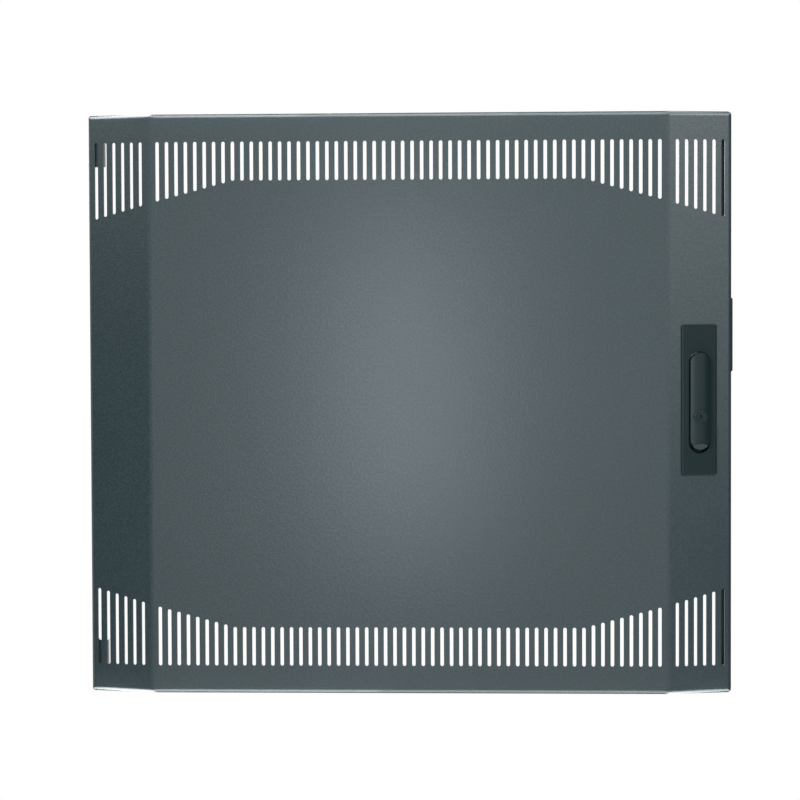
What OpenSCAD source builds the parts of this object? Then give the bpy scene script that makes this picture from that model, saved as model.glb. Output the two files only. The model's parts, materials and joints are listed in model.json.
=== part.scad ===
// Slotted equipment rack door with a lockable swing handle.
// One folded sheet makes the bowed front, the return flanges and the rear lips.
// The hinge side carries two bushed hinge blocks; the latch side carries the swing handle lock.
// Part frame: X to the right along the door, Y into the rack, Z up.
// The origin lies on the hinge axis, level with the bottom edge of the door.

/* [Door sheet] */
// Width of the door
door_w = 600; // [560:1:640]
// Height of the door
door_h = 541; // [500:1:620]
// Width of each side facet in the front view
facet_run = 59; // [54:0.5:66]
// Angle at which each side facet falls back
facet_angle = 14; // [12:0.5:16]
// Depth of the side flanges behind the outer edge of the facets
side_flange = 22; // [20:0.5:26]
// Thickness of the sheet
sheet_t = 1.5; // [1.2:0.1:1.8]
// Outer radius of the bend along the front edges
edge_r = 4; // [3.5:0.1:4.6]
// Outer radius of the two shallow folds
fold_r = 16; // [8:1:24]
// Outer radius of the bend behind the flanges
lip_bend_r = 3; // [2.5:0.5:4]
// Radius of the four corners in the front view
corner_r = 4.2; // [4:0.1:4.8]
// Width of the top and bottom lips behind the door
lip_w = 18; // [14:0.5:20]
// Width of the lip along the latch side
latch_lip_w = 12; // [10:0.5:14]
// Width of the notches that free the lips at their ends
relief_w = 1.2; // [0.8:0.1:2]
// Side of the square relief where two flanges and their lips meet
corner_relief = 7; // [6.6:0.1:8]

/* [Vent slots] */
// Width of a slot
slot_w = 3.3; // [2.8:0.1:4.4]
// Distance from one slot to the next
slot_pitch = 8.8; // [8:0.1:10]
// Length of the slots in the middle of each row
slot_len = 36.2; // [30:0.2:44]
// Distance from the edge of the door to the outer ends of the slots
slot_margin = 26; // [22:0.2:30]
// Smallest distance from the middle of a slot to a fold or to the outer edge
slot_clear = 6.8; // [6:0.2:8]
// Half the length of the stretch in which all slots have the same length
straight_run = 162.8; // [120:0.2:200]
// Angle at which the inner ends run away from that stretch
rake_angle = 15; // [8:0.5:18]

/* [Hinges] */
// Distance from the outer edge of the door to the hinge axis
hinge_inset = 7.3; // [7:0.1:8]
// Distance from the back of the door to the hinge axis
hinge_back = 9.5; // [9:0.1:11]
// Radius of the barrel of a hinge block
barrel_r = 6; // [5.8:0.1:6.5]
// Height of a hinge block
hinge_h = 46.5; // [44:0.5:56]
// Distances of the two ends of a hinge block's nose from the outer edge of the door
nose_from = 6.6; // [6:0.1:7.2]
nose_to = 15.4; // [14.6:0.1:16.4]
// Gap between the nose and the back of the sheet
nose_gap = 1; // [0.6:0.1:1.6]
// Bore of a hinge bush
bush_bore = 6.1; // [5.6:0.1:6.4]
// Wall of a hinge bush
bush_wall = 1.4; // [1.2:0.1:1.6]
// Length of a hinge bush
bush_len = 20; // [16:0.5:22]
// Diameter of the hinge screws
hinge_screw_d = 4; // [3.5:0.1:4.4]
// Length of the hinge screws
hinge_screw_len = 10; // [7:0.5:11]
// Distance between the two screws of a hinge block
hinge_screw_gap = 13; // [11:0.5:15]

/* [Handle dish] */
// Width of the dish
dish_w = 34; // [33:0.5:38]
// Height of the dish
dish_h = 139.5; // [136:0.5:150]
// Height of the middle of the dish above the middle of the door
dish_z = 3.5; // [-20:0.5:40]
// How much nearer to the fold than to the outer edge the lock sits
lock_shift = 1.2; // [0:0.1:2]
// Height of the dish rim above the sheet
rim_h = 2.6; // [2.4:0.1:3]
// Radius of the corners of the dish
dish_corner_r = 2.5; // [2:0.5:4]
// Radius of the front edge of the dish
dish_edge_r = 1.5; // [0.8:0.1:1.6]
// How far the dish rim laps over the sheet at each side of its cut-out
dish_lap = 2.5; // [2:0.1:3]
// Depth of the dish body behind the front of the sheet
dish_body = 11; // [11:0.5:13]
// Wall of the dish moulding
dish_wall = 2; // [1.6:0.1:2.2]
// Thickness of the gasket under the rim
gasket_t = 0.8; // [0.5:0.1:1.2]
// Depth of the shallow recess behind the front of the sheet
recess_floor = 3; // [2.9:0.1:3.4]
// Gap between the handle and the side of its recess
recess_gap = 0.6; // [0.5:0.1:1]
// Gap between the tip of the handle and the end of the recess
finger_gap = 3.6; // [3.4:0.1:5]
// Height of the finger hollow along the handle
hollow_h = 19; // [16:0.5:22]

/* [Swing handle] */
// Width of the handle
handle_w = 19.2; // [19:0.2:21]
// Length of the handle
handle_len = 90.4; // [88:0.2:94]
// Distance from the top of the dish to the spindle axis
spindle_drop = 35.2; // [34:0.1:38]
// Gap between the rim of the dish and the handle
handle_clear = 0.3; // [0.3:0.1:0.8]
// Thickness of the handle
handle_t = 5; // [5:0.1:6.4]
// Wall of the handle casting
handle_wall = 1.8; // [1.6:0.1:2]
// Radius of the crown across the front of the handle
crown_r = 28; // [24:1:60]
// Radius of the front edge of the handle
handle_edge_r = 2.8; // [1.6:0.1:3]
// Length of the bevel at the tip of the handle
tip_bevel = 5.4; // [4.6:0.2:6.4]
// Depth of the bevel at the tip of the handle
tip_bevel_t = 3.2; // [2.4:0.2:3.6]
// Radius of the heel about the pivot pin
heel_r = 7.5; // [7.2:0.1:7.6]
// Diameter of the pivot pin
pivot_d = 2.4; // [2:0.1:2.6]
// Wall of the spindle lug around the pivot pin
lug_wall = 1.2; // [1:0.1:1.3]
// Width of the spindle lug
lug_w = 8; // [7:0.5:9]
// Angle that the handle lifts
lift_angle = 40; // [30:5:40]

/* [Spindle and cam] */
// Diameter of the spindle
spindle_d = 12; // [11:0.5:13]
// Length of the spindle bearing in the dish
bearing_len = 20; // [17:0.5:22]
// Side of the square end of the spindle
square_w = 8; // [7:0.5:8.2]
// Thickness of the cam
cam_t = 3; // [2.5:0.5:4]
// Width of the cam
cam_w = 20; // [18:0.5:22]
// Distance from the spindle axis to the bend of the cam
cam_bend = 12; // [11:0.5:13]
// Length of the cam past its bend
cam_reach = 16; // [14:0.5:20]
// Gap between the back of the door and the cam for the frame of the rack
frame_gap = 4.5; // [4:0.1:6]

/* [Lock] */
// Distance from the spindle axis to the lock
lock_drop = 50; // [46:0.1:54]
// Diameter of the lock barrel
barrel_d = 12.8; // [12:0.2:13]
// Diameter of the key plug
plug_d = 9; // [8:0.2:9.4]
// How far the barrel stands out of the handle
barrel_proud = 0.4; // [0.3:0.1:0.6]
// Reach of the locking tongue
tongue_reach = 7.2; // [6.2:0.1:7.4]
// Thickness of the locking tongue
tongue_t = 1.2; // [1:0.1:1.4]

/* [Small hardware] */
// Diameter of the clamp screws
clamp_screw_d = 4; // [3.5:0.1:4.4]
// Length of the clamp screws
clamp_screw_len = 9; // [8:0.5:10]
// Thickness of the clamp plates
clamp_t = 2; // [1.5:0.1:2.5]
// Height of a clamp plate
clamp_h = 12; // [11:0.5:14]
// Height of the edge plate on the latch side
edge_plate_h = 68; // [60:1:80]
// Height of the middle of the edge plate above the middle of the door
edge_plate_z = 63.6; // [50:0.2:90]
// Thickness of the edge plate
edge_plate_t = 1.2; // [1:0.1:1.6]
// Diameter of the rivets of the edge plate
rivet_d = 3.2; // [3:0.1:3.4]
// Distance from the end of the edge plate to its rivet
rivet_inset = 9; // [7:0.5:14]
// Diameter of a rubber bumper
bumper_d = 10; // [9:0.5:12]
// Height of a rubber bumper
bumper_h = 3; // [2.5:0.1:3.5]
// Distance from the middle of the door to a bumper
bumper_x = 200; // [150:1:210]
// Diameter of the earth stud
stud_d = 6; // [5:0.5:6]
// Length of the earth stud
stud_len = 16; // [14:1:20]
// Distance from the hinge side fold to the earth stud
stud_x = 16; // [14:1:24]
// Height of the earth stud above the bottom edge
stud_z = 98; // [90:1:140]

/* [Hidden] */
$fn = 64;

fit = 0.05;          // radial running clearance
seat = 0.1;          // clearance of parts that are put together and stay
cut_out_gap = 0.5;   // clearance of the dish in the cut-out of the sheet
cut = 1;             // how far a cutter runs past the face that it cuts

// door sheet
centre_w = door_w - 2 * facet_run;
facet_w = facet_run / cos(facet_angle);
facet_drop = facet_w * sin(facet_angle);
door_d = facet_drop + side_flange;
half_w = door_w / 2;
half_h = door_h / 2;
centre_slots = floor((centre_w - 2 * slot_clear) / slot_pitch) + 1;
facet_slots = floor((facet_w - slot_clear) / slot_pitch);
rake = tan(rake_angle);

// hinges
hinge_x = hinge_inset - half_w;
hinge_y = door_d - hinge_back;
bush_r = bush_bore / 2 + bush_wall;
block_low = half_h - sheet_t - hinge_h;
hinge_screw_head_r = hinge_screw_d / 2 + sheet_t;
hinge_screw_inset = 7;
hinge_screw_z = [block_low + hinge_screw_inset, block_low + hinge_screw_inset + hinge_screw_gap];
screw_end_gap = 0.5;

// lock, seen from the spindle axis on the front of the sheet
spindle_s = facet_w / 2 - lock_shift;
spindle_z = dish_z + dish_h / 2 - spindle_drop;
dish_high = spindle_drop;
dish_low = spindle_drop - dish_h;
body_x = dish_w / 2 - dish_lap - cut_out_gap;
body_high = dish_high - dish_lap - cut_out_gap;
body_low = dish_low + dish_lap + cut_out_gap;
body_corner_r = 2.5;
cut_out_r = 3;
hollow_corner_r = 1;
gasket_inset = 0.5;
gasket_r = 2;
bearing_wall = 3.5;
clamp_boss_wall = 2;
handle_r = handle_w / 2;
handle_low = handle_r - handle_len;
recess_r = handle_r + recess_gap;
recess_low = handle_low - finger_gap + recess_r;
hollow_floor = dish_body - dish_wall;
handle_back = rim_h + handle_clear;
handle_front = handle_back + handle_t;
pivot_z = handle_r - heel_r;
lug_r = pivot_d / 2 + lug_wall;
lug_skin = 1;
pivot_y = handle_front - lug_skin - seat - lug_r;
pivot_skin = 1.2;
pivot_corner_gap = 2;
sweep_gap = 0.2;
lug_side_gap = 0.3;
barrel_wall = 1.4;
barrel_short = 2.2;
disc_t = 1.2;
disc_front = recess_floor - fit - disc_t;
collar_wall = 3.4;
washer_t = 1.2;
clip_t = 1;
clip_wall = 2.2;
clip_slot = 3;
bearing_end = recess_floor + bearing_len;
clip_y = bearing_end + washer_t + 2 * fit;
clip_depth = 0.8;
barrel_front = handle_front + barrel_proud;
barrel_edge_r = [0.9, 0.5];
plug_front = barrel_front - 0.6;
plug_back = handle_back + 0.3 + tongue_t;
key_slot = [1.2, 2.4, 4.4];
key_hole_r = 1.6;
key_hole_depth = 1.6;
tongue_hub_r = 3.8;
tongue_w = 5;
tongue_tip_r = 1;
tongue_square = 4;
cam_y = (door_d + frame_gap - (spindle_s + cam_bend) * sin(facet_angle)) / cos(facet_angle);
cam_screw_d = 5;
cam_screw_len = 10;
cam_thread_len = 8;
cam_washer_t = 1.2;
cam_washer_r = 7.5;
square_short = 0.2;
cam_bend_r = 6;
cam_tip_r = 5;
cam_tip = cam_bend + cam_t * sin(facet_angle) + cam_reach * cos(facet_angle);
clamp_y = dish_body + 0.3;
clamp_leg_x = dish_w / 2 - dish_lap + 1;
clamp_high = body_high - clamp_h / 2 - 1;
clamp_low = body_low + clamp_h / 2 - 2;

// edge plate, bumpers and earth stud
edge_plate_w = side_flange - lip_bend_r - 3;
edge_plate_y = facet_drop + edge_plate_w / 2 + 1;
edge_plate_r = 4;
rivet_grip = 1;
rivet_head_t = 0.1;
bumper_r = bumper_d / 2;
bumper_edge_r = 1.2;
bumper_stem_r = bumper_d / 4;
bumper_barb = 0.8;
bumper_barb_t = 2.5;
bumper_barb_r = 1;
stud_root_r = stud_d * 0.44;
stud_base_t = 0.8;
earth_washer_r = stud_d * 0.95;
earth_washer_t = 1;
tooth_depth = 1;
tooth_gap = 0.8;
nut_af = stud_d * 1.66;
nut_t = stud_d * 0.8;
nut_y = 6;
nut_relief = 0.2;

paint = [0.29, 0.33, 0.35];
black = [0.13, 0.15, 0.16];
dark_zinc = [0.24, 0.27, 0.28];
bright_zinc = [0.74, 0.75, 0.76];
rubber = [0.09, 0.09, 0.10];
nylon = [0.86, 0.85, 0.80];

// ---- placing ----

// the middle of the front of the centre panel becomes the place that the children see
module on_door() translate([-hinge_x, -hinge_y, half_h]) children();

// X along the latch side facet from its fold, Y into the rack square to the facet
module on_latch_facet()
    on_door() translate([centre_w / 2, 0, 0]) rotate([0, 0, facet_angle]) children();

// the same, from the spindle axis
module at_spindle() on_latch_facet() translate([spindle_s, 0, spindle_z]) children();

// at both ends of the hinge side
module at_upper_hinge() on_door() children();
module at_lower_hinge() on_door() mirror([0, 0, 1]) children();

// ---- shapes ----

// a 2D outline in X and Z, made thick from y0 to y1
module thick_y(y0, y1) translate([0, y1, 0]) rotate([90, 0, 0]) linear_extrude(y1 - y0) children();

// a 2D outline in Y and Z, made thick from x0 to x1
module thick_x(x0, x1) translate([x0, 0, 0]) rotate([90, 0, 90]) linear_extrude(x1 - x0) children();

// a 2D outline in X and Y, made thick from z0 to z1
module thick_z(z0, z1) translate([0, 0, z0]) linear_extrude(z1 - z0) children();

// a round bar along Y
module bar_y(r, y0, y1) translate([0, y0, 0]) rotate([-90, 0, 0]) cylinder(r = r, h = y1 - y0);

// a round bar along X
module bar_x(r, x0, x1) translate([x0, 0, 0]) rotate([0, 90, 0]) cylinder(r = r, h = x1 - x0);

// a ring about Y
module ring_y(r_in, r_out, y0, y1) difference() {
    bar_y(r_out, y0, y1);
    bar_y(r_in, y0 - cut, y1 + cut);
}

// what a radius takes off the corner at the origin
module corner_bit(r) difference() {
    translate([-cut, -cut]) square(r + cut);
    translate([r, r]) circle(r);
}

// a rectangle from p to q, with a radius for each corner from low left round to top left
module soft_rect(p, q, r) difference() {
    translate(p) square(q - p);
    if (r[0] > 0) translate(p) corner_bit(r[0]);
    if (r[1] > 0) translate([q.x, p.y]) mirror([1, 0]) corner_bit(r[1]);
    if (r[2] > 0) translate(q) rotate(180) corner_bit(r[2]);
    if (r[3] > 0) translate([p.x, q.y]) mirror([0, 1]) corner_bit(r[3]);
}

// the same radius for all four corners
function all_four(r) = [r, r, r, r];

// a slot with round ends, from z0 to z1
module slot_2d(w, z0, z1) {
    translate([-w / 2, z0 + w / 2]) square([w, z1 - z0 - w]);
    translate([0, z0 + w / 2]) circle(w / 2);
    translate([0, z1 - w / 2]) circle(w / 2);
}

// what a radius takes off the outline where it turns by angle at p; the way in points at angle from
module turn_bit(p, from, angle, r) translate(p) rotate(from) {
    leg = r * tan(angle / 2);
    difference() {
        polygon([[-leg, 0], [0, -cut], [leg * cos(angle), leg * sin(angle)]]);
        translate([-leg, r]) circle(r, $fn = 180);
    }
}

// a cross recess for a screw head whose top is at y0
module cross_recess(size, depth, y0) for (a = [0, 90])
    rotate([0, a, 0]) translate([-size / 2, y0 - cut, -size / 8]) cube([size, depth + cut, size / 4]);

// ---- door sheet ----

// the door seen from above, drawn inset from its outer faces
module plan_outline(inset) {
    fold = [centre_w / 2 - inset * tan(facet_angle / 2), inset];
    outer = [half_w - inset, (half_w - inset - centre_w / 2) * tan(facet_angle) + inset / cos(facet_angle)];
    back = door_d - inset;
    difference() {
        polygon([[-outer.x, back], [-outer.x, outer.y], [-fold.x, fold.y],
                 [fold.x, fold.y], [outer.x, outer.y], [outer.x, back]]);
        for (side = [0, 1]) mirror([side, 0]) {
            turn_bit(fold, 0, facet_angle, fold_r - inset);
            turn_bit(outer, facet_angle, 90 - facet_angle, edge_r - inset);
        }
        turn_bit([outer.x, back], 90, 90, lip_bend_r - inset);
    }
}

// everything inside the door's outer faces, or inside faces that lie inset behind them
module door_volume(inset) {
    high = half_h - inset;
    wide = half_w - inset;
    front_r = edge_r - inset;
    back_r = lip_bend_r - inset;
    face_r = corner_r - inset;
    intersection() {
        thick_z(-high, high) plan_outline(inset);
        thick_x(-half_w - cut, half_w + cut)
            soft_rect([inset, -high], [door_d - inset, high], [front_r, back_r, back_r, front_r]);
        for_both_facets() thick_x(-door_w, facet_w + door_d)
            soft_rect([inset, -high], [door_w, high], [front_r, 0, 0, front_r]);
        thick_y(-cut, door_d + cut)
            soft_rect([-wide, -high], [wide, high], all_four(face_r));
    }
}

// what lies behind both facet planes
module for_both_facets() intersection() {
    translate([centre_w / 2, 0, 0]) rotate([0, 0, facet_angle]) children();
    mirror([1, 0, 0]) translate([centre_w / 2, 0, 0]) rotate([0, 0, facet_angle]) children();
}

// the inner end of a slot, by its distance from the middle along the unfolded sheet
function slot_inner(u) = half_h - slot_margin - slot_len - max(0, u - straight_run) * rake;

// the cutters for one row of slots
module slot_row() {
    outer = half_h - slot_margin;
    for (i = [0:centre_slots - 1]) {
        x = (i - (centre_slots - 1) / 2) * slot_pitch;
        translate([x, 0, 0]) thick_y(-cut, sheet_t + cut) slot_2d(slot_w, slot_inner(abs(x)), outer);
    }
    for (side = [0, 1], k = [1:facet_slots]) {
        s = k * slot_pitch;
        mirror([side, 0, 0]) translate([centre_w / 2, 0, 0]) rotate([0, 0, facet_angle]) translate([s, 0, 0])
            thick_y(-cut, sheet_t + cut) slot_2d(slot_w, slot_inner(centre_w / 2 + s), outer);
    }
}

// the opening between the lips and the notches at the ends of the lips
module lip_window() {
    y0 = door_d - sheet_t - cut;
    y1 = door_d + cut;
    inner_x = -half_w + sheet_t;
    for (x = [0, 1], z = [0, 1]) mirror([x, 0, 0]) mirror([0, 0, z])
        translate([half_w - corner_relief, door_d - lip_bend_r - 1, half_h - corner_relief])
            cube([corner_relief + cut, lip_bend_r + 1 + cut, corner_relief + cut]);
    thick_y(y0, y1) translate([inner_x, -half_h + lip_w])
        square([door_w - sheet_t - latch_lip_w, door_h - 2 * lip_w]);
    for (side = [0, 1]) mirror([0, 0, side]) {
        thick_y(y0, y1) translate([inner_x, half_h - lip_w - cut]) square([corner_relief - sheet_t, lip_w]);
        translate([half_w - latch_lip_w, 0, half_h - lip_w]) rotate([0, -atan2(lip_w, latch_lip_w), 0])
            thick_y(y0, y1) translate([-cut, -relief_w / 2])
                square([norm([lip_w, latch_lip_w]) - lip_bend_r + cut, relief_w]);
    }
}

bumper_places = [[-bumper_x, 1], [bumper_x, 1], [-bumper_x, -1], [bumper_x, -1]];
module at_bumpers() for (p = bumper_places)
    translate([p.x, door_d, p.y * (half_h - lip_w / 2)]) children();

module at_hinge_screws() for (side = [0, 1], z = hinge_screw_z)
    mirror([0, 0, side]) translate([-half_w, hinge_y, z]) children();

module at_edge_rivets() for (side = [-1, 1])
    translate([half_w, edge_plate_y, edge_plate_z + side * (edge_plate_h / 2 - rivet_inset)]) children();

module door_panel() color(paint) on_door() difference() {
    door_volume(0);
    door_volume(sheet_t);
    lip_window();
    slot_row();
    mirror([0, 0, 1]) slot_row();
    translate([centre_w / 2, 0, 0]) rotate([0, 0, facet_angle]) translate([spindle_s, 0, spindle_z])
        thick_y(-cut, sheet_t + cut)
            soft_rect([-body_x - cut_out_gap, body_low - cut_out_gap],
                      [body_x + cut_out_gap, body_high + cut_out_gap], all_four(cut_out_r));
    for (side = [0, 1]) mirror([0, 0, side])
        translate([hinge_x, hinge_y, half_h - sheet_t - cut])
            cylinder(r = bush_r + seat, h = sheet_t + 2 * cut);
    at_hinge_screws() rotate([0, 90, 0]) {
        translate([0, 0, -cut]) cylinder(r = hinge_screw_d / 2 + seat, h = sheet_t + 2 * cut);
        cylinder(r1 = hinge_screw_head_r + seat, r2 = hinge_screw_d / 2 + seat, h = sheet_t);
    }
    at_edge_rivets() bar_x(rivet_d / 2 + fit, -sheet_t - cut, cut);
    at_bumpers() bar_y(bumper_stem_r + seat, -sheet_t - cut, cut);
}

// ---- hinges ----

// the barrel of a hinge block seen from above, flat where it lies on the side flange
module hinge_barrel_2d() {
    intersection() {
        translate([hinge_x, hinge_y]) circle(barrel_r);
        translate([-half_w + sheet_t, 0]) square(door_d);
    }
    translate([-half_w + sheet_t, hinge_y - barrel_r]) square([hinge_inset - sheet_t, 2 * barrel_r]);
}

// the nose that backs the facet, seen from above
module hinge_nose_2d() {
    ends = [for (x = [-half_w + nose_from, -half_w + nose_to])
        [x, (-x - centre_w / 2) * tan(facet_angle) + (sheet_t + nose_gap) / cos(facet_angle)]];
    polygon([[ends[0].x, hinge_y], ends[0], ends[1],
             [ends[1].x, hinge_y - barrel_r], [hinge_x + barrel_r, hinge_y]]);
}

module hinge_block() difference() {
    union() {
        thick_z(block_low, half_h - sheet_t) hinge_barrel_2d();
        thick_z(block_low, half_h - edge_r - nose_gap) hinge_nose_2d();
    }
    // the corner that clears the rounded corner of the sheet
    translate([-half_w + sheet_t, 0, half_h - sheet_t]) mirror([0, 0, 1])
        thick_y(0, door_d) corner_bit(corner_r - sheet_t + seat);
    translate([hinge_x, hinge_y, half_h - bush_len]) cylinder(r = bush_r + fit, h = bush_len + cut);
    for (z = hinge_screw_z)
        translate([-half_w, hinge_y, z]) bar_x(hinge_screw_d / 2 + seat, 0, hinge_screw_len + screw_end_gap);
}

module hinge_bush() translate([hinge_x, hinge_y, half_h - bush_len]) difference() {
    cylinder(r = bush_r, h = bush_len);
    translate([0, 0, -cut]) cylinder(r = bush_bore / 2, h = bush_len + 2 * cut);
}

module upper_hinge_block() color(paint) at_upper_hinge() hinge_block();
module lower_hinge_block() color(paint) at_lower_hinge() hinge_block();
module upper_hinge_bush() color(nylon) at_upper_hinge() hinge_bush();
module lower_hinge_bush() color(nylon) at_lower_hinge() hinge_bush();

module hinge_screws() color(dark_zinc) on_door() at_hinge_screws() difference() {
    rotate([0, 90, 0]) {
        cylinder(r1 = hinge_screw_head_r, r2 = hinge_screw_d / 2, h = sheet_t);
        cylinder(r = hinge_screw_d / 2, h = hinge_screw_len);
    }
    rotate([0, 0, -90]) cross_recess(hinge_screw_d, 1, 0);
}

// ---- handle dish ----

module dish_rim() intersection() {
    thick_y(-rim_h, -gasket_t)
        soft_rect([-dish_w / 2, dish_low], [dish_w / 2, dish_high], all_four(dish_corner_r));
    thick_x(-dish_w, dish_w)
        soft_rect([-rim_h, dish_low], [dish_body, dish_high], [dish_edge_r, 0, 0, dish_edge_r]);
    thick_z(dish_low - cut, dish_high + cut)
        soft_rect([-dish_w / 2, -rim_h], [dish_w / 2, dish_body], [dish_edge_r, dish_edge_r, 0, 0]);
}

module dish_body_2d(clearance) soft_rect([-body_x - clearance, body_low - clearance],
    [body_x + clearance, body_high + clearance], all_four(body_corner_r));

module recess_2d() slot_2d(2 * recess_r, recess_low - recess_r, recess_r);

module handle_dish() color(black) at_spindle() difference() {
    union() {
        difference() {
            union() {
                dish_rim();
                thick_y(-gasket_t - cut / 2, dish_body) dish_body_2d(0);
            }
            // hollow back of the moulding, above the recess and behind its floor
            thick_y(-gasket_t + dish_wall / 2, dish_body + cut) soft_rect(
                [-body_x + dish_wall, recess_r + dish_wall], [body_x - dish_wall, body_high - dish_wall],
                all_four(hollow_corner_r));
            thick_y(recess_floor + dish_wall, dish_body + cut) soft_rect(
                [-body_x + dish_wall, recess_low - recess_r + hollow_h + dish_wall],
                [body_x - dish_wall, -spindle_d], all_four(hollow_corner_r));
        }
        bar_y(spindle_d / 2 + bearing_wall, recess_floor, bearing_end);
        translate([0, 0, clamp_high]) bar_y(clamp_screw_d / 2 + clamp_boss_wall, -gasket_t, dish_body);
    }
    thick_y(-rim_h - cut, recess_floor) recess_2d();
    // finger hollow under the tip of the handle
    thick_y(recess_floor - cut, hollow_floor) intersection() {
        recess_2d();
        translate([-recess_r, recess_low - recess_r]) square([2 * recess_r, hollow_h]);
    }
    bar_y(spindle_d / 2 + fit, -rim_h, bearing_end + cut);
    for (z = [clamp_high, clamp_low])
        translate([0, 0, z]) bar_y(clamp_screw_d / 2 + fit, dish_wall, dish_body + cut);
}

module dish_gasket() color(rubber) at_spindle() difference() {
    thick_y(-gasket_t, 0)
        soft_rect([-dish_w / 2 + gasket_inset, dish_low + gasket_inset],
                  [dish_w / 2 - gasket_inset, dish_high - gasket_inset], all_four(gasket_r));
    thick_y(-gasket_t - cut, cut) dish_body_2d(seat);
}

// a bridge that pulls the dish back against the sheet
module clamp_plate(z) translate([0, 0, z]) difference() {
    translate([-clamp_leg_x - clamp_t, sheet_t, -clamp_h / 2])
        cube([2 * (clamp_leg_x + clamp_t), clamp_y + clamp_t - sheet_t, clamp_h]);
    translate([-clamp_leg_x, sheet_t - cut, -clamp_h / 2 - cut])
        cube([2 * clamp_leg_x, clamp_y - sheet_t + cut, clamp_h + 2 * cut]);
    bar_y(clamp_screw_d / 2 + seat, clamp_y - cut, clamp_y + clamp_t + cut);
}
module upper_clamp_plate() color(bright_zinc) at_spindle() clamp_plate(clamp_high);
module lower_clamp_plate() color(bright_zinc) at_spindle() clamp_plate(clamp_low);

module pan_screw(d, len, head_y) difference() {
    union() {
        bar_y(d / 2, head_y - len, head_y);
        bar_y(d * 0.95, head_y, head_y + d * 0.6);
    }
    mirror([0, 1, 0]) cross_recess(d, d * 0.35, -head_y - d * 0.6);
}
module clamp_screws() color(bright_zinc) at_spindle() for (z = [clamp_high, clamp_low])
    translate([0, 0, z]) pan_screw(clamp_screw_d, clamp_screw_len, clamp_y + clamp_t);

// ---- swing handle ----

// the handle's side view between its front and its back, with the heel and the bevelled tip
module handle_side() difference() {
    intersection() {
        translate([-handle_front, handle_low]) square([handle_t, handle_len]);
        union() {
            translate([-handle_front, handle_low]) square([handle_t, pivot_z - handle_low]);
            translate([-pivot_y, pivot_z]) circle(heel_r);
        }
    }
    polygon([[-handle_front - cut, handle_low + tip_bevel + cut * tip_bevel / tip_bevel_t],
             [-handle_front + tip_bevel_t + cut, handle_low - cut * tip_bevel / tip_bevel_t],
             [-handle_front - cut, handle_low - cut * tip_bevel / tip_bevel_t]]);
}

// half of the handle's cross-section, which its straight length and its round ends share
module handle_section() soft_rect([0, handle_back], [handle_r, handle_front], [0, 0, handle_edge_r, 0]);

module handle_body() intersection() {
    union() {
        for (z = [0, handle_low + handle_r])
            translate([0, 0, z]) rotate([90, 0, 0]) rotate_extrude() handle_section();
        thick_z(handle_low + handle_r, 0) mirror([0, 1]) {
            handle_section();
            mirror([1, 0]) handle_section();
        }
    }
    thick_x(-handle_r - cut, handle_r + cut) handle_side();
    translate([0, crown_r - handle_front, handle_low - cut])
        cylinder(r = crown_r, h = handle_len + 2 * cut, $fn = 180);
}

// the room that the spindle lug and its neck sweep through as the handle lifts
module lug_sweep() thick_x(-lug_w / 2 - lug_side_gap, lug_w / 2 + lug_side_gap)
    translate([-pivot_y, pivot_z]) {
        circle(lug_r + sweep_gap);
        for (a = [0:10:lift_angle]) rotate(a)
            translate([0, -lug_r - sweep_gap]) square([pivot_y + cut, 2 * (lug_r + sweep_gap)]);
    }

module swing_handle() color(dark_zinc) at_spindle() difference() {
    union() {
        difference() {
            handle_body();
            thick_y(-handle_front + handle_wall, 0) slot_2d(handle_w - 2 * handle_wall,
                handle_low + tip_bevel, pivot_z - lug_r - pivot_corner_gap);
        }
        translate([0, 0, -lock_drop])
            bar_y(barrel_d / 2 + barrel_wall, -handle_front + handle_wall / 2, -handle_back - barrel_short);
    }
    lug_sweep();
    translate([0, -pivot_y, pivot_z]) bar_x(pivot_d / 2 + fit / 2, -handle_r - cut, handle_r + cut);
    translate([0, 0, -lock_drop]) bar_y(barrel_d / 2 + seat, -handle_front - cut, 0);
}

module handle_pivot_pin() color(bright_zinc) at_spindle()
    translate([0, -pivot_y, pivot_z]) bar_x(pivot_d / 2, -handle_r + pivot_skin, handle_r - pivot_skin);

// ---- lock ----

module lock_barrel() color(black) at_spindle() translate([0, 0, -lock_drop]) rotate([90, 0, 0])
    rotate_extrude() soft_rect([plug_d / 2 + fit, handle_back + barrel_short], [barrel_d / 2, barrel_front],
                               [0, 0, barrel_edge_r[0], barrel_edge_r[1]]);

module key_plug() color(bright_zinc) at_spindle() translate([0, 0, -lock_drop]) difference() {
    union() {
        bar_y(plug_d / 2, -plug_front, -plug_back);
        translate([-tongue_square / 2, -plug_back - cut, -tongue_square / 2])
            cube([tongue_square, tongue_t + cut, tongue_square]);
    }
    translate([-key_slot.x / 2, -plug_front - cut, -key_slot.z / 2])
        cube([key_slot.x, key_slot.y + cut, key_slot.z]);
    bar_y(key_hole_r, -plug_front - cut, -plug_front + key_hole_depth);
}

module lock_tongue() color(bright_zinc) at_spindle() translate([0, 0, -lock_drop]) difference() {
    thick_y(-plug_back, -plug_back + tongue_t) {
        circle(tongue_hub_r);
        soft_rect([-tongue_w / 2, -tongue_reach], [tongue_w / 2, 0], [tongue_tip_r, tongue_tip_r, 0, 0]);
    }
    translate([-tongue_square / 2 - fit, -handle_front, -tongue_square / 2 - fit])
        cube([tongue_square + 2 * fit, handle_front, tongue_square + 2 * fit]);
}

// ---- spindle and cam ----

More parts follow.
